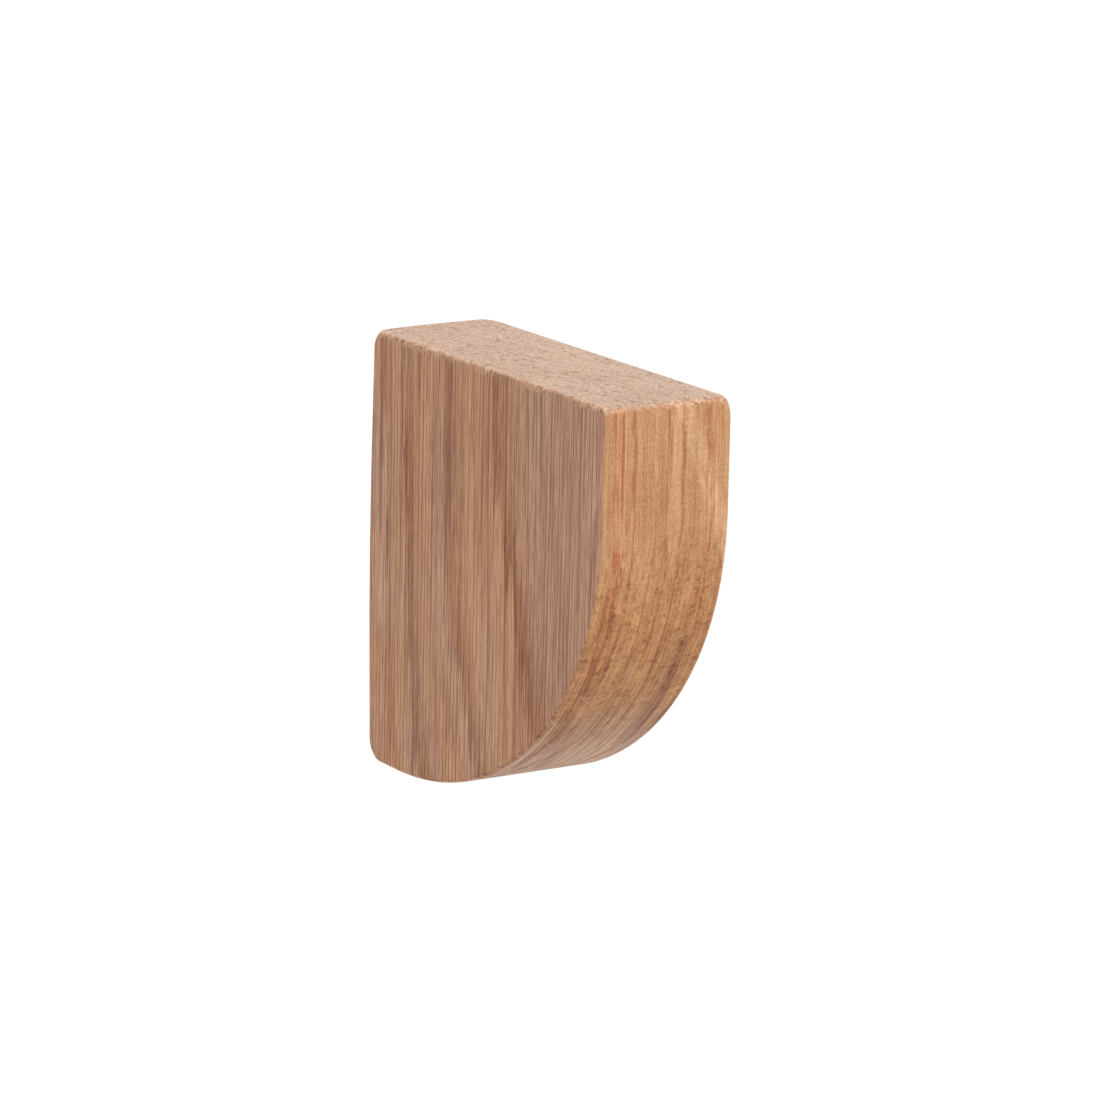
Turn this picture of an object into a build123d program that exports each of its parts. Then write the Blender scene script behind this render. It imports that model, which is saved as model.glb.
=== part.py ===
from build123d import *
import os

# Quarter-round oak wall block with a screw-in insert in its back.
# Millimetres, +Z up. The wall is the plane Y = 0 and the block stands out from it towards -Y,
# with X across its width. The origin is the mouth of the insert, on the block's centre plane.

# Block
HEIGHT = 60.0
PROJECTION = 59.4  # from the wall to the flat of the front
WIDTH = 19.3
STRAIGHT_FRONT = 15.3  # height of the flat of the front, above the curve
FLAT_UNDERSIDE = 8.2  # depth of the flat of the underside, next to the wall
FIXING_DROP = 24.0  # from the top face down to the insert's axis
SIDE_EDGE_RADIUS = 0.6  # sanded edges between a cheek and the front, the curve and the underside
BACK_EDGE_RADIUS = 1.2  # sanded edges up both sides of the back and across its foot
TOP_EDGE_RADIUS = 1.4  # sanded edges round the end grain of the top

# Bore for the insert
PILOT_RADIUS = 4.8
PILOT_DEPTH = 20.0
PILOT_COUNTERSINK = 0.8  # keeps splinters off the wall when the insert is driven
PILOT_COUNTERSINK_ANGLE = 90.0

# Insert: M6 inside, coarse wood thread outside
INSERT_LENGTH = 14.0
TAPPED_RADIUS = 2.5  # minor radius of M6
CORE_RADIUS = 4.6
THREAD_RADIUS = 6.0
THREAD_PITCH = 3.0
THREAD_ROOT_WIDTH = 1.5
THREAD_CREST_WIDTH = 0.3
THREAD_SINK = 0.3  # how far the thread's root reaches into the core, so that the two fuse
THREAD_RUNOUT = 1.5  # from each end of the insert to the thread's end
NOSE_TAPER = 3.0  # length of the tapered lead at the inner end
NOSE_RADIUS = 4.2
SLOT_WIDTH = 1.4  # screwdriver slot across the mouth
SLOT_DEPTH = 2.0
SLOT_LENGTH = 18.0  # longer than the thread is wide, so that it cuts right across

top = FIXING_DROP
bottom = FIXING_DROP - HEIGHT
curve_top = top - STRAIGHT_FRONT
curve_depth = PROJECTION - FLAT_UNDERSIDE
curve_height = HEIGHT - STRAIGHT_FRONT
into_block = -Plane.XZ  # the back plane, facing the wall: holes run from it into the block

os.makedirs("parts", exist_ok=True)

# Oak block: side profile extruded across the width, sanded at every edge, bored from the back
with BuildPart() as oak_block:
    with BuildSketch(Plane.YZ):
        with BuildLine():
            Polyline(
                (-FLAT_UNDERSIDE, bottom),
                (0, bottom),
                (0, top),
                (-PROJECTION, top),
                (-PROJECTION, curve_top),
            )
            EllipticalCenterArc(
                (-FLAT_UNDERSIDE, curve_top), curve_depth, curve_height, start_angle=180, arc_size=90
            )
        make_face()
    extrude(amount=WIDTH / 2, both=True)
    cheek_edges = oak_block.faces().filter_by(Axis.X).edges()
    back_edges = oak_block.faces().sort_by(Axis.Y)[-1].edges()
    top_edges = oak_block.faces().sort_by(Axis.Z)[-1].edges()
    fillet(cheek_edges - top_edges - back_edges, SIDE_EDGE_RADIUS)
    back_edges = oak_block.faces().sort_by(Axis.Y)[-1].edges()
    top_edges = oak_block.faces().sort_by(Axis.Z)[-1].edges()
    fillet(back_edges - top_edges, BACK_EDGE_RADIUS)
    fillet(oak_block.faces().sort_by(Axis.Z)[-1].edges(), TOP_EDGE_RADIUS)
    with Locations(into_block):
        CounterSinkHole(
            PILOT_RADIUS,
            PILOT_RADIUS + PILOT_COUNTERSINK,
            depth=PILOT_DEPTH,
            counter_sink_angle=PILOT_COUNTERSINK_ANGLE,
        )
oak_block.part.label = "oak_block"
export_step(oak_block.part, "parts/oak_block.step")

# Threaded insert: a core with a helical wood thread, tapered at the nose, then bored and slotted
with BuildPart() as threaded_insert:
    with BuildSketch(Plane.XZ):
        Circle(CORE_RADIUS)
    extrude(amount=INSERT_LENGTH)
    with BuildLine() as thread_path:
        Helix(
            pitch=THREAD_PITCH,
            height=INSERT_LENGTH - 2 * THREAD_RUNOUT,
            radius=CORE_RADIUS,
            center=(0, -THREAD_RUNOUT, 0),
            direction=(0, -1, 0),
        )
    start = thread_path.line @ 0
    thread_height = THREAD_RADIUS - CORE_RADIUS
    with BuildSketch(Plane(origin=start, x_dir=(start.X, 0, start.Z), z_dir=thread_path.line % 0)):
        with BuildLine():
            Polyline(
                (-THREAD_SINK, -THREAD_ROOT_WIDTH / 2),
                (0, -THREAD_ROOT_WIDTH / 2),
                (thread_height, -THREAD_CREST_WIDTH / 2),
                (thread_height, THREAD_CREST_WIDTH / 2),
                (0, THREAD_ROOT_WIDTH / 2),
                (-THREAD_SINK, THREAD_ROOT_WIDTH / 2),
                close=True,
            )
        make_face()
    sweep(path=thread_path.line, is_frenet=True)
    with BuildSketch(Plane.XY):
        with BuildLine():
            Polyline(
                (0, 0),
                (CORE_RADIUS, 0),
                (THREAD_RADIUS + THREAD_SINK, -THREAD_RUNOUT),
                (THREAD_RADIUS + THREAD_SINK, NOSE_TAPER - INSERT_LENGTH),
                (NOSE_RADIUS, -INSERT_LENGTH),
                (0, -INSERT_LENGTH),
                close=True,
            )
        make_face()
    revolve(axis=Axis.Y, mode=Mode.INTERSECT)
    with Locations(into_block):
        Hole(TAPPED_RADIUS)
    with BuildSketch(into_block):
        Rectangle(SLOT_WIDTH, SLOT_LENGTH)
    extrude(amount=-SLOT_DEPTH, mode=Mode.SUBTRACT)
threaded_insert.part.label = "threaded_insert"
export_step(threaded_insert.part, "parts/threaded_insert.step")
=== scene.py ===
import math

import bmesh
import bpy
import numpy as np
from mathutils import Matrix, Vector


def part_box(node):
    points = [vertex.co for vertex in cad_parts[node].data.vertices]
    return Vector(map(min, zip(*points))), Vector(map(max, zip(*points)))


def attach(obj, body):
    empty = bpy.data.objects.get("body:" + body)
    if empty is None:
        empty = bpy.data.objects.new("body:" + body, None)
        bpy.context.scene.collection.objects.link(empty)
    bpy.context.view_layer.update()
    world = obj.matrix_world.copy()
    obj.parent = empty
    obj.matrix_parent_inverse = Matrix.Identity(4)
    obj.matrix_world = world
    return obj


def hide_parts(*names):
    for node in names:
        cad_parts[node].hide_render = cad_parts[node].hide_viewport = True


# Quarter-round oak wall block, photographed on white. Metres, in the row frame: the wall is the plane y = 0,
# the block stands out from it towards -y, x runs across its width, and z is up.

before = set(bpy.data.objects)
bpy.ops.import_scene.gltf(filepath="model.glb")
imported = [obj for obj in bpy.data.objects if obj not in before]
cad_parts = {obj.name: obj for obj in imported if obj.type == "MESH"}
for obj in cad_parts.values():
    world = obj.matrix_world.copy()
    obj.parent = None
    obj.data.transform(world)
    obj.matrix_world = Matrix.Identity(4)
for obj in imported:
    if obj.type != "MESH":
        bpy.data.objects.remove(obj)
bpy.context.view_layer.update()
block_low, block_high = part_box("oak_block")

MM = 0.001

# ---------------------------------------------------------------- the block's measures

half_width = block_high.x
top = block_high.z
foot = block_low.z
projection = -block_low.y
straight_front = 15.3 * MM  # height of the flat of the front, above the curve
flat_underside = 8.2 * MM  # depth of the flat of the underside, next to the wall
curve_depth = projection - flat_underside
curve_top = top - straight_front
curve_height = curve_top - foot
bore_radius = 4.8 * MM
bore_countersink = 0.8 * MM
bore_depth = 20 * MM

# How far each edge is sanded round
cheek_edge = 0.55 * MM
near_top_edge = 0.45 * MM  # where the top meets the cheek on the -x side, left crisp
far_top_edge = 1.35 * MM
back_edge = 1.2 * MM
back_edge_more = 1.5 * MM  # added to it towards the top and the foot, where sandpaper bites most
back_top_more = 1.0 * MM  # added to it across the top, towards the near cheek
front_top_edge = 1.2 * MM
sanding_fade = 3.0 * MM  # over which one radius turns into the next

# How far each corner is rubbed down past its edges: (x side, y side, z side, depth)
rubbed_corners = (
    (-1, +1, +1, 0.6 * MM),
    (-1, +1, -1, 1.0 * MM),
    (+1, +1, +1, 0.15 * MM),
    (+1, +1, -1, 0.8 * MM),
    (-1, -1, +1, 0.0 * MM),
    (+1, -1, +1, 0.1 * MM),
)
rubbed_radius = 1.5 * MM

# Mesh spacing, first near the edges and then on the flats between them
profile_spacing = (0.12 * MM, 0.55 * MM)
width_spacing = (0.1 * MM, 0.6 * MM)
cheek_spacing = (0.1 * MM, 2.5 * MM)
spacing_growth = 0.22  # how fast one turns into the other, per unit of length
bore_sides = 72
smooth_below = math.radians(35)  # edges sharper than this stay sharp


def rounded(a, b, radius):
    """Signed distance of the solid inside both a and b, its edge rounded to that radius."""
    a, b = a + radius, b + radius
    outside = np.hypot(np.maximum(a, 0), np.maximum(b, 0))
    return outside + np.minimum(np.maximum(a, b), 0) - radius


def nearness(distance):
    """1 on a face, falling smoothly to 0 where the distance inside it reaches sanding_fade."""
    t = np.clip(-distance / sanding_fade, 0, 1)
    return 1 - t * t * (3 - 2 * t)


def block_distance(p):
    """Signed distance of points p from the sanded block, negative inside."""
    x, y, z = p.T
    forward = np.maximum(-y - flat_underside, 0)
    down = np.maximum(curve_top - z, 0)
    on_curve = (forward > 0) & (down > 0)
    unit = np.hypot(forward / curve_depth, down / curve_height)
    slope = np.hypot(forward / curve_depth**2, down / curve_height**2)
    curved = (unit - 1) * unit / np.where(on_curve, slope, 1)
    flat = np.maximum(-y - projection, foot - z)
    nose = np.where(on_curve, curved, flat)
    above = z - top
    behind = y
    side = np.abs(x) - half_width
    near_top, near_back = nearness(above), nearness(behind)
    profile = rounded(nose, above, front_top_edge)
    near_side = np.where(z > 0, np.clip(-x / half_width, 0, 1) ** 2, 0)
    profile = rounded(profile, behind, back_edge + back_top_more * near_side)
    top_edge = np.where(x < 0, near_top_edge, far_top_edge)
    edge = cheek_edge + (top_edge - cheek_edge) * near_top
    ends = ((z - (top + foot) / 2) / ((top - foot) / 2)) ** 2
    edge = edge + (back_edge + back_edge_more * ends - edge) * near_back
    block = rounded(profile, side, edge)
    for sx, sy, sz, depth in rubbed_corners:
        corner = np.array((sx * half_width, 0 if sy > 0 else -projection, top if sz > 0 else foot))
        outward = np.array((sx, sy, sz)) / math.sqrt(3)
        block = rounded(block, (p - corner) @ outward + depth, rubbed_radius)
    return block


def settle(p, steps=4):
    """Moves points onto the sanded block's surface, along its slope."""
    h = 1e-6
    least_slope = 0.25  # keeps the steps short where the slope almost vanishes
    for _ in range(steps):
        d = block_distance(p)
        rises = [block_distance(p + h * axis) - block_distance(p - h * axis) for axis in np.eye(3)]
        slope = np.stack(rises, 1) / (2 * h)
        p = p - d[:, None] * slope / np.maximum((slope**2).sum(1), least_slope)[:, None]
    return p


def spread(a, b, fine, coarse):
    """Places from a to b: close together at both ends, and further apart between."""
    length = abs(b - a)
    steps = [0.0]
    while steps[-1] < length / 2:
        steps.append(steps[-1] + min(coarse, fine + spacing_growth * steps[-1]))
    steps = np.array(steps) * (length / 2) / steps[-1]
    both = np.concatenate([steps, length - steps[-2::-1]])
    return a + both * np.sign(b - a)


def profile_ring(fine, coarse):
    """The sharp-cornered side profile as (y, z) points, from the foot of the back up, forward and round."""
    back = [(0, z) for z in spread(foot, top, fine, coarse)]
    head = [(y, top) for y in spread(0, -projection, fine, coarse)]
    front = [(-projection, z) for z in spread(top, curve_top, fine, coarse) if z > curve_top]
    axes_over_arc = 1.3  # an ellipse's two half axes together, next to a quarter of its outline
    steps = round((curve_depth + curve_height) / (axes_over_arc * coarse))
    curve = []
    for t in np.linspace(0, math.pi / 2, steps + 1):
        curve.append((-flat_underside - curve_depth * math.cos(t), curve_top - curve_height * math.sin(t)))
    under = [(y, foot) for y in spread(-flat_underside, 0, fine, coarse)]
    return np.array(back[:-1] + head[:-1] + front + curve[:-1] + under[:-1])


def block_mesh():
    """A closed mesh of the sanded block: a skin round the profile, and a cheek on each side."""
    ring = profile_ring(*profile_spacing)
    across = spread(-half_width, half_width, *width_spacing)
    around = len(ring)
    middle = np.array((-0.45 * projection, (top + foot) / 2))  # the rings of a cheek close in on it
    reach = 0.5 * min(projection, top - foot)
    insets = spread(0, reach, *cheek_spacing)
    insets = insets[insets < 0.75 * reach][1:] / reach
    points = [np.column_stack([np.full(around, x), ring]) for x in across]
    faces = []

    def band(first, second):
        for i in range(around):
            j = (i + 1) % around
            faces.append((first + i, first + j, second + j, second + i))

    for k in range(len(across) - 1):
        band(k * around, (k + 1) * around)
    for side in (-1, 1):
        outer = 0 if side < 0 else (len(across) - 1) * around
        for s in insets:
            start = sum(map(len, points))
            inner = middle + (1 - s) * (ring - middle)
            points.append(np.column_stack([np.full(around, side * half_width), inner]))
            if side < 0:
                band(start, outer)
            else:
                band(outer, start)
            outer = start
        centre = sum(map(len, points))
        points.append(np.array([[side * half_width, *middle]]))
        for i in range(around):
            j = (i + 1) % around
            first, second = (i, j) if side < 0 else (j, i)
            faces.append((outer + first, outer + second, centre))
    return settle(np.concatenate(points)), faces


def mesh_object(name, points, faces):
    mesh = bpy.data.meshes.new(name)
    mesh.from_pydata([tuple(p) for p in points], [], faces)
    mesh.validate()
    obj = bpy.data.objects.new(name, mesh)
    bpy.context.scene.collection.objects.link(obj)
    work = bmesh.new()
    work.from_mesh(mesh)
    bmesh.ops.recalc_face_normals(work, faces=work.faces)
    work.to_mesh(mesh)
    work.free()
    return obj


def bore_cutter():
    """The pilot bore with its countersunk mouth, turned about the insert's axis."""
    past = 1 * MM
    outline = (
        (bore_radius + bore_countersink + past, past),
        (bore_radius, -bore_countersink),
        (bore_radius, -bore_depth),
    )
    points, faces = [], []
    for radius, y in outline:
        for i in range(bore_sides):
            a = 2 * math.pi * i / bore_sides
            points.append((radius * math.cos(a), y, radius * math.sin(a)))
    last = (len(outline) - 1) * bore_sides
    for row in range(0, last, bore_sides):
        for i in range(bore_sides):
            j = (i + 1) % bore_sides
            faces.append((row + i, row + j, row + bore_sides + j, row + bore_sides + i))
    faces.append(tuple(range(bore_sides)))
    faces.append(tuple(range(last, last + bore_sides)))
    return mesh_object("bore_cutter", points, faces)


def apply_modifiers(obj):
    """Leaves obj with its modified mesh and no modifiers."""
    depsgraph = bpy.context.evaluated_depsgraph_get()
    mesh = bpy.data.meshes.new_from_object(obj.evaluated_get(depsgraph))
    obj.modifiers.clear()
    obj.data = mesh


def build_block():
    block = mesh_object("oak_body", *block_mesh())
    cutter = bore_cutter()
    cut = block.modifiers.new("bore", "BOOLEAN")
    cut.object = cutter
    cut.solver = "EXACT"
    apply_modifiers(block)
    bpy.data.objects.remove(cutter)
    block.data.shade_smooth()
    block.data.set_sharp_from_angle(angle=smooth_below)
    return block


# ---------------------------------------------------------------- materials


class Nodes:
    """Builds a material's node tree. A value is a socket or a number, and a place is three values."""

    def __init__(self, name):
        self.material = bpy.data.materials.new(name)
        self.material.use_nodes = True
        self.tree = self.material.node_tree
        self.shader = self.tree.nodes["Principled BSDF"]

    def feed(self, socket, value):
        if isinstance(value, bpy.types.NodeSocket):
            self.tree.links.new(value, socket)
        else:
            socket.default_value = value

    def math(self, operation, *values, clamp=False):
        node = self.tree.nodes.new("ShaderNodeMath")
        node.operation = operation
        node.use_clamp = clamp
        for socket, value in zip(node.inputs, values):
            self.feed(socket, value)
        return node.outputs[0]

    def add(self, *values):
        total = values[0]
        for value in values[1:]:
            total = self.math("ADD", total, value)
        return total

    def times(self, *values):
        product = values[0]
        for value in values[1:]:
            product = self.math("MULTIPLY", product, value)
        return product

    def weighted(self, *pairs):
        """The sum of (value, weight) pairs."""
        return self.add(*(self.times(value, weight) for value, weight in pairs))

    def clamped(self, value):
        return self.math("ADD", value, 0.0, clamp=True)

    def blend(self, factor, a, b):
        return self.math("MULTIPLY_ADD", self.math("SUBTRACT", b, a), factor, a)

    def remap(self, value, low, high, out_low, out_high, interpolation="LINEAR"):
        """out_low at low and below, out_high at high and above. Low may be the greater of the two."""
        node = self.tree.nodes.new("ShaderNodeMapRange")
        node.interpolation_type = interpolation
        names = ("Value", "From Min", "From Max", "To Min", "To Max")
        for name, v in zip(names, (value, low, high, out_low, out_high)):
            self.feed(node.inputs[name], v)
        return node.outputs["Result"]

    def step(self, value, low, high):
        """A smooth step from 0 at low to 1 at high."""
        return self.remap(value, low, high, 0.0, 1.0, "SMOOTHSTEP")

    def parts(self, vector):
        node = self.tree.nodes.new("ShaderNodeSeparateXYZ")
        self.feed(node.inputs[0], vector)
        return tuple(node.outputs)

    def stretched(self, place, scale):
        """The place as a vector, each of its values times its own scale."""
        node = self.tree.nodes.new("ShaderNodeCombineXYZ")
        for socket, value, factor in zip(node.inputs, place, scale):
            plain = isinstance(value, (int, float))
            self.feed(socket, value * factor if plain else self.times(value, factor))
        return node.outputs[0]

    def position(self):
        """The point's place in the row frame, in millimetres."""
        place = self.tree.nodes.new("ShaderNodeTexCoord").outputs["Object"]
        scale = self.tree.nodes.new("ShaderNodeVectorMath")
        scale.operation = "SCALE"
        self.feed(scale.inputs[0], place)
        scale.inputs["Scale"].default_value = 1 / MM
        return self.parts(scale.outputs[0])

    def normal(self):
        return self.parts(self.tree.nodes.new("ShaderNodeTexCoord").outputs["Normal"])

    def noise(self, place, scale, detail=2.0, roughness=0.5, distortion=0.0):
        """Smooth noise about 0.5. The scale says how many features there are to the millimetre, each way."""
        node = self.tree.nodes.new("ShaderNodeTexNoise")
        self.feed(node.inputs["Vector"], self.stretched(place, scale))
        node.inputs["Scale"].default_value = 1
        node.inputs["Detail"].default_value = detail
        node.inputs["Roughness"].default_value = roughness
        node.inputs["Distortion"].default_value = distortion
        return node.outputs["Fac"]

    def cells(self, place, scale):
        """Distance to the nearest of a scatter of points, one to each unit cube of the stretched place."""
        node = self.tree.nodes.new("ShaderNodeTexVoronoi")
        self.feed(node.inputs["Vector"], self.stretched(place, scale))
        node.inputs["Scale"].default_value = 1
        return node.outputs["Distance"]

    def curve(self, value, span, points):
        """A broken line through points, each a value within span and a height."""
        node = self.tree.nodes.new("ShaderNodeFloatCurve")
        line = node.mapping.curves[0]
        for place, height in sorted(points):
            line.points.new((place - span[0]) / (span[1] - span[0]), height)
        line.points[0].location.y = line.points[len(line.points) - 1].location.y = 0
        for point in line.points:
            point.handle_type = "VECTOR"
        node.mapping.update()
        self.feed(node.inputs["Value"], self.remap(value, *span, 0.0, 1.0))
        return node.outputs[0]

    def mix(self, factor, a, b, blend="MIX"):
        node = self.tree.nodes.new("ShaderNodeMix")
        node.data_type = "RGBA"
        node.blend_type = blend
        self.feed(node.inputs[0], factor)
        self.feed(node.inputs[6], a)
        self.feed(node.inputs[7], b)
        return node.outputs[2]

    def tint(self, factor, colour, left):
        """The colour, multiplied by what is left of it where the factor is 1."""
        return self.mix(factor, colour, left, "MULTIPLY")

    def bump(self, height, distance, strength):
        node = self.tree.nodes.new("ShaderNodeBump")
        node.inputs["Strength"].default_value = strength
        node.inputs["Distance"].default_value = distance
        self.feed(node.inputs["Height"], height)
        self.feed(self.shader.inputs["Normal"], node.outputs[0])


def rgb(r, g, b):
    """A colour as a picture program shows it, from 0 to 255, in Blender's linear numbers."""
    values = [v / 255 for v in (r, g, b)]
    return tuple(v / 12.92 if v <= 0.04045 else ((v + 0.055) / 1.055) ** 2.4 for v in values) + (1.0,)


# The block is sawn from one board. Its fibres run along z, and its growth rings stand at this angle to
# the cheeks.
ring_angle = math.radians(14)

# Growth rings, from the near cheek's front to the far cheek's back: (place of the ring's pores across the
# rings, mm; how far they fade into it, mm; how strongly they show, 0 to 1)
rings = (
    (-23.2, 0.5, 0.15),
    (-21.6, 0.6, 0.10),
    (-19.9, 0.5, 0.18),
    (-17.35, 0.75, 1.00),
    (-15.9, 0.45, 0.30),
    (-14.2, 1.00, 0.80),
    (-13.5, 0.25, 0.50),
    (-11.6, 0.85, 0.75),
    (-10.3, 0.35, 0.95),
    (-8.6, 0.70, 0.50),
    (-6.4, 0.80, 0.80),
    (-4.2, 0.60, 0.45),
    (-2.1, 0.90, 0.85),
    (0.2, 0.50, 0.35),
    (2.3, 0.90, 0.90),
    (4.7, 0.60, 0.45),
    (6.6, 0.80, 0.75),
    (8.7, 0.60, 0.60),
)
ring_span = (-26.0, 12.0)  # mm
ring_end = 0.14  # mm, the sharp side of a ring

# Red-brown streaks down the front: (place across it, mm; half width, mm; strength, 1 for a full one)
front_streaks = (
    (-7.2, 1.25, 1.30),
    (-5.0, 0.50, 0.80),
    (-1.9, 0.30, 0.35),
    (0.3, 0.50, 0.55),
    (2.3, 0.30, 0.90),
    (6.5, 1.20, 0.75),
    (8.6, 0.30, 0.50),
)

# Broader brown streaks where the front has curved under, listed the same way
foot_streaks = (
    (-6.5, 1.2, 0.35),
    (-1.2, 1.3, 0.55),
    (2.2, 0.7, 0.30),
    (5.9, 1.4, 1.00),
)
streak_span = (-12.0, 12.0)  # mm

# Each cut of the wood, from its dark fibres to its pale ones. The top and cheek pairs are paler and greyer,
# partly with painted sheen, the white reflection of a grazing view; the curve pair is darker, partly with
# painted shade where the curve turns from the light.
oak_cheek_and_painted_sheen = (rgb(130, 83, 59), rgb(192, 152, 124))
oak_front = (rgb(135, 84, 44), rgb(190, 149, 110))
oak_curve_and_painted_shade = (rgb(128, 79, 38), rgb(190, 140, 92))
oak_top_and_painted_sheen = (rgb(126, 94, 73), rgb(186, 161, 141))
oak_foot = (rgb(134, 95, 72), rgb(190, 153, 125))
oak_torn = (rgb(134, 93, 68), rgb(198, 157, 126))
oak_scratch = rgb(198, 160, 130)

# What each of these leaves of the colour under it
oak_warm = (1.04, 0.93, 0.74, 1.0)
oak_ring = (0.66, 0.47, 0.38, 1.0)
oak_pore = (0.58, 0.44, 0.40, 1.0)
oak_end_pore = (0.62, 0.42, 0.34, 1.0)
oak_ray = (0.60, 0.49, 0.47, 1.0)
oak_streak = (0.76, 0.50, 0.37, 1.0)
oak_foot_streak = (0.62, 0.55, 0.54, 1.0)
# painted shade across the curve as it turns under, in patches
oak_smudge_and_painted_shade = (0.60, 0.42, 0.33, 1.0)
oak_fleck = (1.18, 1.30, 1.46, 1.0)


def ring_points():
    """Curve points that rise slowly into each ring and drop sharply at its end."""
    points = []
    for place, fade, strength in rings:
        points += [(place - fade, 0), (place - 0.4 * fade, 0.8 * strength)]
        points += [(place, strength), (place + ring_end, 0)]
    return points


def streak_points(streaks):
    """Curve points that rise to each streak's strength and fall away on both sides of it."""
    points = []
    for place, half_width_mm, strength in streaks:
        points += [(place - half_width_mm, 0), (place, strength), (place + half_width_mm, 0)]
    return points


class Oak(Nodes):
    """Oiled oak. Each feature of the wood has its own method, and those that others need are kept by name."""

    def __init__(self):
        super().__init__("oiled_oak")
        self.place = self.position()
        self.depth = self.times(self.place[1], -1.0)  # from the wall
        self.drop = self.math("SUBTRACT", top / MM, self.place[2])  # from the top face
        self.find_faces()
        self.lay_fibres()
        self.lay_rings()
        self.lay_pores_and_rays()
        self.roughen_ends()
        colour = self.grain(self.plain_wood())
        for feature in (self.end_pores, self.streaks, self.fleck, self.smudges_and_painted_shade, self.torn_edge, self.wear):
            colour = feature(colour)
        self.feed(self.shader.inputs["Base Color"], colour)
        self.finish()

    def find_faces(self):
        """Which face a point is on, as shares from 0 to 1, by the way that the surface looks."""
        _, facing_y, facing_z = self.normal()
        self.down = self.times(facing_z, -1.0)
        self.on_front = self.step(self.math("ABSOLUTE", facing_y), 0.35, 0.8)
        self.on_top = self.step(facing_z, 0.45, 0.85)
        self.on_curve = self.times(self.step(self.down, 0.03, 0.4), self.on_front)
        self.on_foot = self.step(self.down, 0.60, 0.84)
        others = (self.on_front, self.on_top, self.on_foot)
        self.on_cheek = self.times(*(self.math("SUBTRACT", 1.0, face) for face in others))

    def lines(self, noise):
        """The noise, sharpened into crisp lines."""
        return self.step(noise, 0.38, 0.62)

    def lay_fibres(self):
        """Streaks along z in three sizes, and a slow drift between darker and paler wood."""
        self.wide_fibre = self.noise(self.place, (0.8, 0.8, 0.022))
        self.fibre = self.noise(self.place, (2.9, 2.9, 0.06), 2, 0.6)
        self.fine_fibre = self.noise(self.place, (6.0, 6.0, 0.30), 2, 0.6)
        self.drift = self.noise(self.place, (0.10, 0.10, 0.035))
        self.fine_lines = self.lines(self.fine_fibre)

        # Where the front curves under, it cuts the fibres at a slant and draws them out towards the wall
        self.sweep = self.noise(self.place, (3.0, 0.06, 0.06), 3, 0.7)
        self.front_lines = self.lines(self.blend(self.on_curve, self.fibre, self.sweep))

    def lay_rings(self):
        """Growth rings, bending forward low on the near side of the block, as they do near a branch."""
        x, y, z = self.place
        bend_from = self.remap(self.depth, 5, 45, 58, 0)
        bend = self.math("SMOOTH_MAX", self.math("SUBTRACT", self.drop, bend_from), 0.0, 12.0)
        bend = self.times(bend, 0.19, self.step(self.depth, 62, 48), self.step(x, -2, -8))
        lean = self.add(bend, self.times(self.drop, 0.05))
        across = self.add(
            self.times(x, math.cos(ring_angle)),
            self.times(self.add(y, lean), math.sin(ring_angle)),
            self.remap(self.wide_fibre, 0.3, 0.7, -0.26, 0.26),
            self.remap(self.fibre, 0.3, 0.7, -0.22, 0.22),
        )
        along = self.add(self.times(x, -math.sin(ring_angle)), self.times(y, math.cos(ring_angle)))
        self.in_rings = (across, along, z)
        patches = self.remap(self.noise(self.in_rings, (0.4, 0.08, 0.055)), 0.35, 0.65, 0.65, 1.25)
        feathers = self.remap(self.fibre, 0.3, 0.62, 1.35, 0.65)
        self.ring = self.times(self.curve(across, ring_span, ring_points()), feathers, patches)

    def ray_lines(self, spacing, width, height, reach, gaps, offset):
        """Rays seen edge on: thin lines with gaps in them. The offset sets apart two sets of them."""
        across, along, z = self.in_rings
        wander = self.noise(self.in_rings, (0.09, 0.25, 0.012), 1)
        place = self.add(self.math("DIVIDE", along, spacing), self.times(wander, 1.6), offset)
        line = self.math("FLOOR", place)
        jitter = self.math("FRACT", self.times(self.math("SINE", self.times(line, 12.9898)), 437.585))
        centre = self.remap(jitter, 0, 1, 0.25, 0.75)
        away = self.math("ABSOLUTE", self.math("SUBTRACT", self.math("FRACT", place), centre))
        patch = self.noise((line, across, z), (5.31, 1 / reach, 1 / height), 1)
        half = width / spacing
        return self.times(self.step(away, half, 0.3 * half), self.step(patch, gaps, gaps + 0.10))

    def lay_pores_and_rays(self):
        """Long narrow vessels, crowded in the rings, and thin plates across the rings."""
        vessels = self.step(self.cells(self.place, (2.4, 2.4, 0.22)), 0.36, 0.10)
        self.pore = self.times(vessels, self.remap(self.ring, 0.0, 0.5, 0.22, 1.0))
        big_rays = self.ray_lines(2.6, 0.24, height=40.0, reach=9.0, gaps=0.38, offset=0.0)
        small_rays = self.ray_lines(0.80, 0.15, height=16.0, reach=5.0, gaps=0.40, offset=0.37)
        self.rays = self.math("MAXIMUM", big_rays, self.times(small_rays, 0.9))

    def roughen_ends(self):
        """The fuzz of cut fibre ends on the top, and the torn tufts along its crisp edges."""
        x, _, _ = self.place
        to_cheek = self.math("SUBTRACT", half_width / MM, self.math("ABSOLUTE", x))
        to_front = self.math("SUBTRACT", projection / MM, self.depth)
        at_edge = self.step(self.math("MINIMUM", to_cheek, to_front), 1.2, 0.2)
        self.torn = self.times(self.step(self.drop, 1.3, 0.25), at_edge)
        self.tuft = self.noise(self.place, (1.4, 2.2, 1.4), 3, 0.65)
        self.speckle = self.noise(self.place, (3.2, 1.8, 3.2), 3, 0.7)

    def tone(self):
        """How pale the fibres are, from 0 to 1, on each cut of the wood."""
        fibre_lines = self.lines(self.fibre)
        tone = self.weighted(
            (self.wide_fibre, 0.6),
            (fibre_lines, 0.24),
            (self.fine_lines, 0.40),
            (self.drift, 0.4),
        )
        tone = self.add(tone, self.remap(self.depth, 30, 52, -0.26, -0.33))

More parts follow.
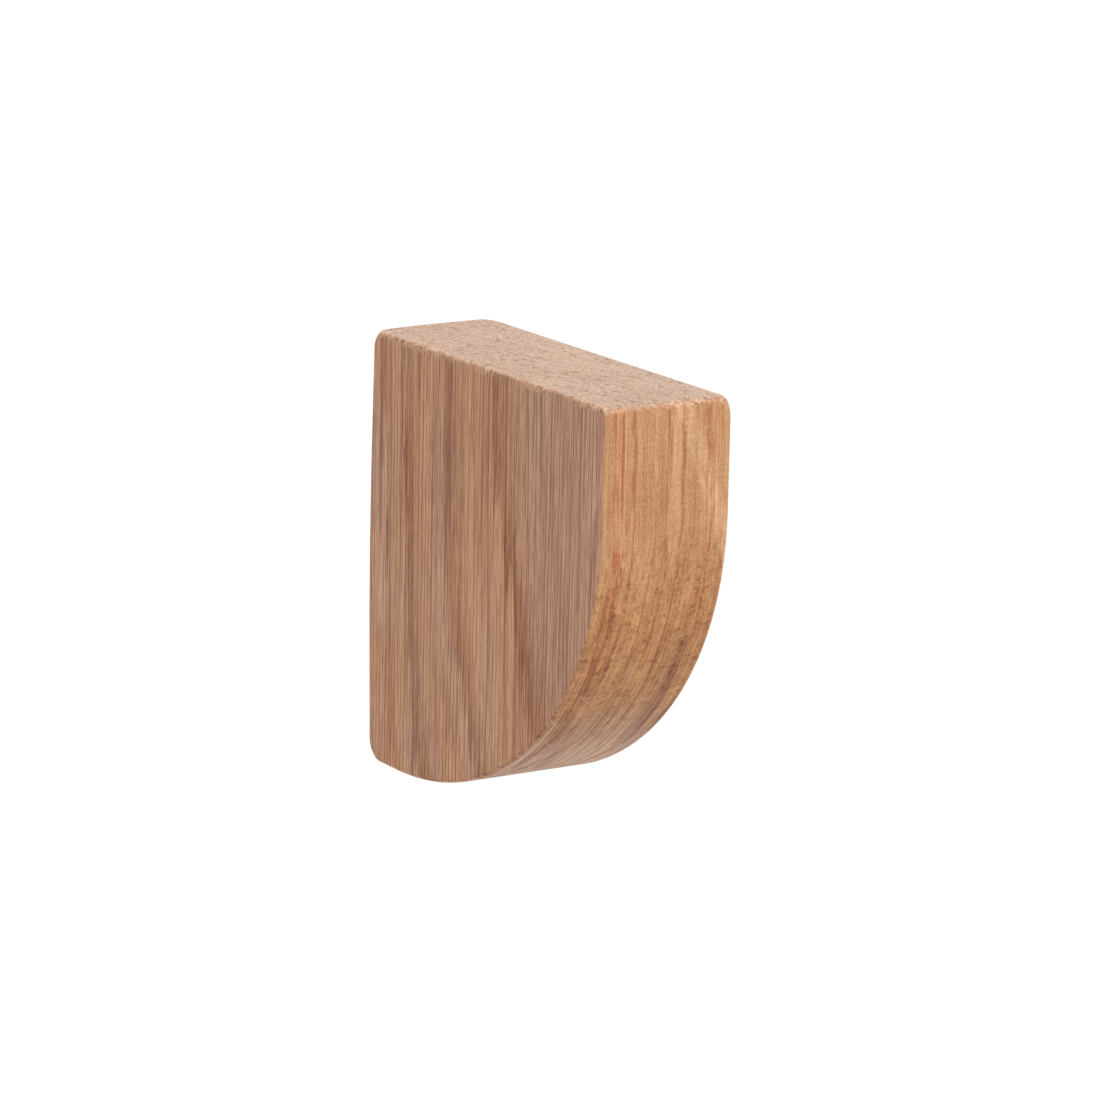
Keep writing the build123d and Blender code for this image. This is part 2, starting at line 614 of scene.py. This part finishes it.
        x, _, z = self.place
        ripple = self.noise((x, 2.0, z), (0.35, 1, 0.8), 3, 0.6, 0.5)
        grit = self.lines(self.noise(self.place, (3.5, 1.5, 2.2), 2, 0.7))
        front = self.weighted(
            (self.wide_fibre, 0.8),
            (self.math("SUBTRACT", self.front_lines, 0.5), self.remap(self.on_curve, 0, 1, 0.16, 0.40)),
            (self.fine_lines, 0.13),
            (self.drift, 0.8),
            (ripple, 0.35),
            (grit, 0.26),
        )
        foot_tone = self.add(self.weighted((self.lines(self.sweep), 0.90), (self.drift, 0.5)), -0.20)
        fuzz = self.step(self.speckle, 0.34, 0.66)
        end = self.add(self.weighted((fuzz, 0.60), (self.fine_lines, 0.25), (self.drift, 0.4)), -0.10)

        tone = self.blend(self.on_front, tone, self.add(front, -0.64))
        tone = self.blend(self.on_foot, tone, foot_tone)
        tone = self.blend(self.on_top, tone, end)
        return self.clamped(tone)

    def plain_wood(self):
        """The colour of the fibres before the grain, with painted sheen in the top and cheek colours and
        painted shade in the curve colour, and warm patches between the rings on the cheeks.
        """
        tone = self.tone()
        colour = self.mix(tone, *oak_cheek_and_painted_sheen)
        # Each face gets its own pair: the top and cheek pairs carry painted sheen, the curve pair painted
        # shade
        cuts = (
            (self.on_front, oak_front),
            (self.on_curve, oak_curve_and_painted_shade),
            (self.on_foot, oak_foot),
            (self.on_top, oak_top_and_painted_sheen),
        )
        for shown, pair in cuts:
            colour = self.mix(shown, colour, self.mix(tone, *pair))
        warm = self.step(self.noise(self.in_rings, (0.55, 0.05, 0.03)), 0.32, 0.60)
        warm = self.times(warm, self.remap(self.in_rings[0], -19.5, -17.6, 0.15, 1.0))
        return self.tint(self.times(warm, self.on_cheek), colour, oak_warm)

    def grain(self, colour):
        """Rings, pores and rays darken the wood. Rings show less on the front and top, pores on the front."""
        on_front = self.remap(self.on_front, 0, 1, 1.0, 0.18)
        on_top = self.remap(self.on_top, 0, 1, 1.0, 0.15)
        colour = self.tint(self.clamped(self.times(self.ring, on_front, on_top)), colour, oak_ring)
        pore = self.times(self.pore, self.remap(self.on_front, 0, 1, 0.8, 0.15))
        colour = self.tint(pore, colour, oak_pore)
        return self.tint(self.times(self.rays, self.on_cheek), colour, oak_ray)

    def end_pores(self, colour):
        """On the top the pores are cut across, in short broken rows along the rings."""
        across, along, _ = self.in_rings
        row = self.noise((across, along, 4.0), (0.55, 0.07, 1))
        pores = self.step(self.cells((across, along, 0.0), (1.3, 0.45, 1)), 0.36, 0.18)
        return self.tint(self.times(pores, self.step(row, 0.41, 0.52), self.on_top), colour, oak_end_pore)

    def streaks(self, colour):
        """Red-brown streaks down the front, broken up along their length, and broader ones below them."""
        x, _, z = self.place
        waver = self.remap(self.noise((0.0, 0.0, z), (1, 1, 0.16)), 0.3, 0.7, -0.35, 0.35)
        place = self.add(x, waver, self.remap(self.fibre, 0.3, 0.7, -0.25, 0.25))
        streak = self.times(
            self.curve(place, streak_span, streak_points(front_streaks)),
            self.step(self.noise((x, 0.0, z), (1.5, 1, 0.10)), 0.26, 0.48),
            self.remap(self.front_lines, 1, 0, 0.3, 1.5),
            self.remap(self.fine_lines, 1, 0, 0.7, 1.3),
        )
        colour = self.tint(self.clamped(self.times(streak, self.on_front)), colour, oak_streak)
        place = self.add(place, self.times(self.math("SUBTRACT", self.sweep, 0.5), 2.0))
        streak = self.curve(place, streak_span, streak_points(foot_streaks))
        below = self.times(self.step(self.down, 0.36, 0.58), self.step(self.down, 0.90, 0.70))
        return self.tint(self.times(streak, below), colour, oak_foot_streak)

    def fleck(self, colour):
        """A pale band that slants across the front, where it grazes a ray."""
        x, _, z = self.place
        slant = self.add(x, self.times(self.drop, -0.38), -2.2)
        band = self.step(self.math("ABSOLUTE", slant), 1.8, 0.8)
        patches = self.step(self.noise((slant, 5.0, z), (0.5, 1, 0.10), 2, 0.6, 0.5), 0.30, 0.50)
        return self.tint(self.times(patches, band, self.on_front, 0.95), colour, oak_fleck)

    def smudges_and_painted_shade(self, colour):
        """Darker patches across the curve where it turns under: painted shade, in patches like burnished
        smudges.
        """
        x, _, z = self.place
        smudge_and_shade = self.noise((x, 0.0, z), (0.55, 1, 1.05), 3, 0.7, 0.6)
        column = self.noise((x, 7.0, z), (1.3, 1, 0.03), 1)
        mark = self.step(self.noise((x, 3.0, z), (1.5, 1, 2.4), 2, 0.6), 0.50, 0.62)
        smudge_and_shade = self.times(
            self.step(self.add(smudge_and_shade, self.times(column, 0.4)), 0.71, 0.88),
            self.step(self.down, 0.06, 0.26),
            self.step(self.down, 0.86, 0.60),
            self.remap(mark, 0, 1, 0.50, 1.30),
        )
        return self.tint(self.clamped(smudge_and_shade), colour, oak_smudge_and_painted_shade)

    def torn_edge(self, colour):
        """The crisp upper edge, where the fibre ends are torn: pale tufts and dark pits."""
        edge = self.mix(self.step(self.tuft, 0.40, 0.58), *oak_torn)
        return self.mix(self.times(self.torn, self.step(self.drift, 0.32, 0.55), 0.75), colour, edge)

    def scratches(self, tilt, layer):
        """Long thin scratches across the block, rising by the tilt as they go. Each layer has its own."""
        x, _, z = self.place
        along = self.add(x, self.times(z, tilt))
        across = self.add(z, self.times(x, -tilt))
        return self.step(self.cells((along, across, layer), (0.05, 1.1, 1)), 0.13, 0.06)

    def wear(self, colour):
        """Pin specks, and fine pale scratches where the curve was sanded."""
        pin = self.step(self.cells(self.place, (0.15, 0.15, 0.15)), 0.050, 0.020)
        colour = self.tint(self.times(pin, 0.7), colour, oak_pore)
        scratch = self.math("MAXIMUM", self.scratches(0.5, 1.0), self.scratches(-0.7, 2.0))
        return self.mix(self.times(scratch, self.step(self.down, 0.25, 0.55), 0.5), colour, oak_scratch)

    def finish(self):
        """Thin matt oil, a little glossier on the hard wood between the rings, over a fine relief."""
        gloss = self.remap(self.add(self.fine_fibre, self.ring), 0.2, 1.4, 0.50, 0.68)
        self.feed(self.shader.inputs["Roughness"], gloss)
        self.shader.inputs["Specular IOR Level"].default_value = 0.35
        relief = self.weighted(
            (self.fine_fibre, 0.5),
            (self.fibre, 0.4),
            (self.pore, -0.8),
            (self.rays, -0.4),
            (self.times(self.speckle, self.on_top), 0.8),
            (self.times(self.tuft, self.torn), 6.0),
        )
        self.bump(relief, 0.05 * MM, 0.9)


def brass():
    n = Nodes("turned_brass")
    place = x, y, z = n.position()
    radius = n.math("POWER", n.add(n.times(x, x), n.times(z, z)), 0.5)
    angle = n.math("ARCTAN2", z, x)

    # Turning marks run round the axis, and the drawn bar's faint scratches along it
    turning = n.noise((radius, y, 0.0), (7.0, 7.0, 1), 3, 0.6)
    scratches = n.noise((angle, y, radius), (14.0, 0.35, 0.8), 3, 0.7)
    patina = n.noise(place, (0.45, 0.45, 0.45), 4, 0.6)
    spots = n.cells(place, (0.9, 0.9, 0.9))
    in_bore = n.step(radius, 2.7, 2.3)
    dull = n.weighted((n.step(patina, 0.40, 0.66), 0.8), (n.step(spots, 0.26, 0.12), 0.5), (in_bore, 0.4))
    dull = n.clamped(dull)

    colour = n.mix(dull, rgb(222, 186, 112), rgb(158, 116, 62))
    colour = n.mix(n.times(n.step(scratches, 0.55, 0.7), 0.35), colour, rgb(238, 212, 152))
    n.feed(n.shader.inputs["Base Color"], colour)
    n.shader.inputs["Metallic"].default_value = 1
    n.feed(n.shader.inputs["Roughness"], n.add(n.remap(dull, 0, 1, 0.22, 0.50), n.times(turning, 0.10)))
    n.bump(n.add(turning, n.times(scratches, 0.5), n.times(dull, -0.3)), 0.02 * MM, 0.7)
    return n.material


# ---------------------------------------------------------------- camera, light and floor

camera_azimuth = math.radians(-32.07)
camera_elevation = math.radians(13.43)
camera_roll = math.radians(1.19)
camera_distance = 0.6633
camera_aim = (1.15 * MM, 4.33 * MM)  # to the right of the block's middle and above it
sensor_width = 36
view_span = 0.22  # how wide the view is, as a share of its distance

key_direction = (0.15, -0.5, 0.78)  # from the block towards the light
key_strength = 2.9
key_softness = math.radians(40)
key_colour = (1, 0.97, 0.93)
floor_grey = 0.6
floor_drop = 250 * MM  # below the block, so that no contact shadow shows
floor_half_side = 30.0


def make_camera():
    data = bpy.data.cameras.new("camera")
    data.sensor_width = sensor_width
    data.lens = sensor_width / view_span
    data.clip_start = 0.01
    data.clip_end = 20
    camera = bpy.data.objects.new("camera", data)
    bpy.context.scene.collection.objects.link(camera)
    bpy.context.scene.camera = camera
    level = math.cos(camera_elevation)
    aside, ahead = math.sin(camera_azimuth) * level, -math.cos(camera_azimuth) * level
    back = Vector((aside, ahead, math.sin(camera_elevation)))
    right = Vector((0, 0, 1)).cross(back).normalized()
    up = back.cross(right)
    rolled_right = math.cos(camera_roll) * right + math.sin(camera_roll) * up
    rolled_up = math.cos(camera_roll) * up - math.sin(camera_roll) * right
    middle = Vector([(low + high) / 2 for low, high in zip(block_low, block_high)])
    place = middle + camera_aim[0] * rolled_right + camera_aim[1] * rolled_up + camera_distance * back
    turn = Matrix((rolled_right, rolled_up, back)).transposed().to_4x4()
    camera.matrix_world = Matrix.Translation(place) @ turn


def soft_light(name, direction, strength, softness, colour):
    """A distant light coming from a direction. Softness is the angle that it fills, seen from the block."""
    data = bpy.data.lights.new(name, "SUN")
    data.energy = strength
    data.angle = softness
    data.color = colour
    light = bpy.data.objects.new(name, data)
    bpy.context.scene.collection.objects.link(light)
    light.rotation_mode = "QUATERNION"
    light.rotation_quaternion = Vector(direction).to_track_quat("Z", "Y")


def make_floor():
    side = floor_half_side
    mesh = bpy.data.meshes.new("floor")
    corners = [(-side, -side, 0), (side, -side, 0), (side, side, 0), (-side, side, 0)]
    mesh.from_pydata(corners, [], [(0, 1, 2, 3)])
    floor = bpy.data.objects.new("floor", mesh)
    floor.location.z = foot - floor_drop
    bpy.context.scene.collection.objects.link(floor)
    material = bpy.data.materials.new("pale_floor")
    material.use_nodes = True
    shader = material.node_tree.nodes["Principled BSDF"]
    shader.inputs["Base Color"].default_value = (floor_grey, floor_grey, floor_grey, 1)
    shader.inputs["Roughness"].default_value = 1
    shader.inputs["Specular IOR Level"].default_value = 0
    mesh.materials.append(material)


def make_studio():
    world = bpy.data.worlds.new("studio")
    bpy.context.scene.world = world
    world.use_nodes = True
    background = world.node_tree.nodes["Background"]
    background.inputs["Color"].default_value = (1, 1, 1, 1)
    background.inputs["Strength"].default_value = 1.0
    soft_light("key", key_direction, key_strength, key_softness, key_colour)
    make_floor()
    scene = bpy.context.scene
    scene.view_settings.view_transform = "Standard"
    scene.view_settings.look = "None"
    scene.view_settings.exposure = 0
    scene.view_settings.gamma = 1


make_camera()
make_studio()

block = build_block()
block.data.materials.clear()
block.data.materials.append(Oak().material)
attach(block, "root")
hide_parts("oak_block")

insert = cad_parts["threaded_insert"]
insert.data.materials.clear()
insert.data.materials.append(brass())

bpy.context.view_layer.update()
